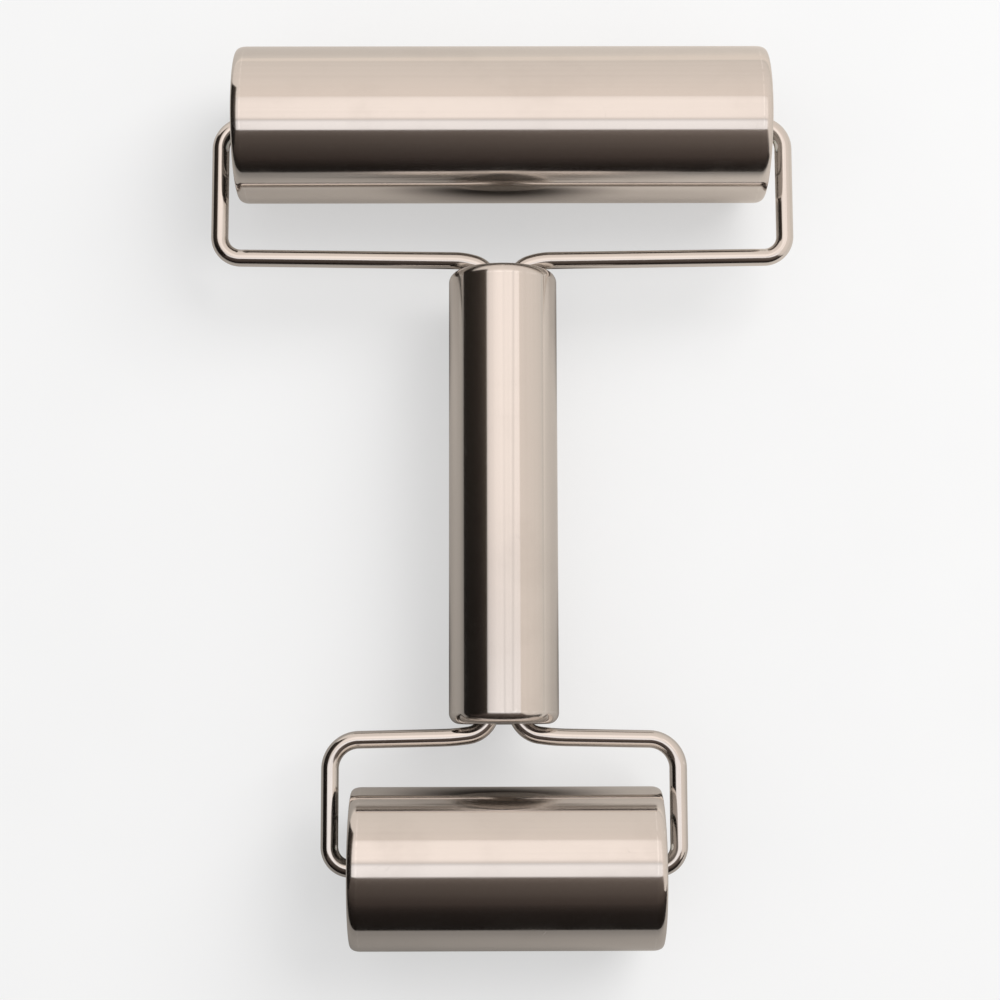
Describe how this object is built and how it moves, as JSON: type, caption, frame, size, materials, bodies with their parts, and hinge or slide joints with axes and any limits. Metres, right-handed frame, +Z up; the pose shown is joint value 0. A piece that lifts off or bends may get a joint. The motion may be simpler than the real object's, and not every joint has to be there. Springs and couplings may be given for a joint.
{
  "type": "double-ended hand roller",
  "caption": "Double-ended steel hand roller: a long roller and a short roller, each turning freely in a bent rod yoke at either end of a tubular handle.",
  "frame": {"origin": "on the floor below the middle of the object, midway between the roller axes, with the object lying on its rollers", "axes": "+Y along the handle to the long roller, +X along the rollers, +Z up from the floor"},
  "size_m": [0.1198, 0.1838, 0.032],
  "materials": {
    "roller_steel": "polished stainless tube with fine polishing lines round it",
    "roller_cap_steel": "pressed stainless sheet, polished",
    "handle_steel": "polished stainless tube with fine polishing lines round it",
    "yoke_rod": "bright drawn stainless rod, polished",
    "weld_steel": "dressed weld",
    "inner_steel": "plain machined steel",
    "bush_nylon": "moulded natural nylon"
  },
  "bodies": {
    "frame": {"long_yoke": "yoke_rod", "short_yoke": "yoke_rod", "handle_tube": "handle_steel", "front_handle_cap": "handle_steel", "rear_handle_cap": "handle_steel", "front_tang_plug": "inner_steel", "rear_tang_plug": "inner_steel", "front_weld": "weld_steel", "rear_weld": "weld_steel"},
    "long_roller": {"long_roller_tube": "roller_steel", "long_roller_left_cap": "roller_cap_steel", "long_roller_left_bush": "bush_nylon", "long_roller_right_cap": "roller_cap_steel", "long_roller_right_bush": "bush_nylon"},
    "short_roller": {"short_roller_tube": "roller_steel", "short_roller_left_cap": "roller_cap_steel", "short_roller_left_bush": "bush_nylon", "short_roller_right_cap": "roller_cap_steel", "short_roller_right_bush": "bush_nylon"}
  },
  "joints": [
    {"name": "long_roller_spin", "type": "hinge", "parent": "frame", "child": "long_roller", "pos_m": [0, 0.0759, 0.016], "axis": [1, 0, 0], "continuous": true},
    {"name": "short_roller_spin", "type": "hinge", "parent": "frame", "child": "short_roller", "pos_m": [0, -0.0759, 0.016], "axis": [1, 0, 0], "continuous": true}
  ]
}
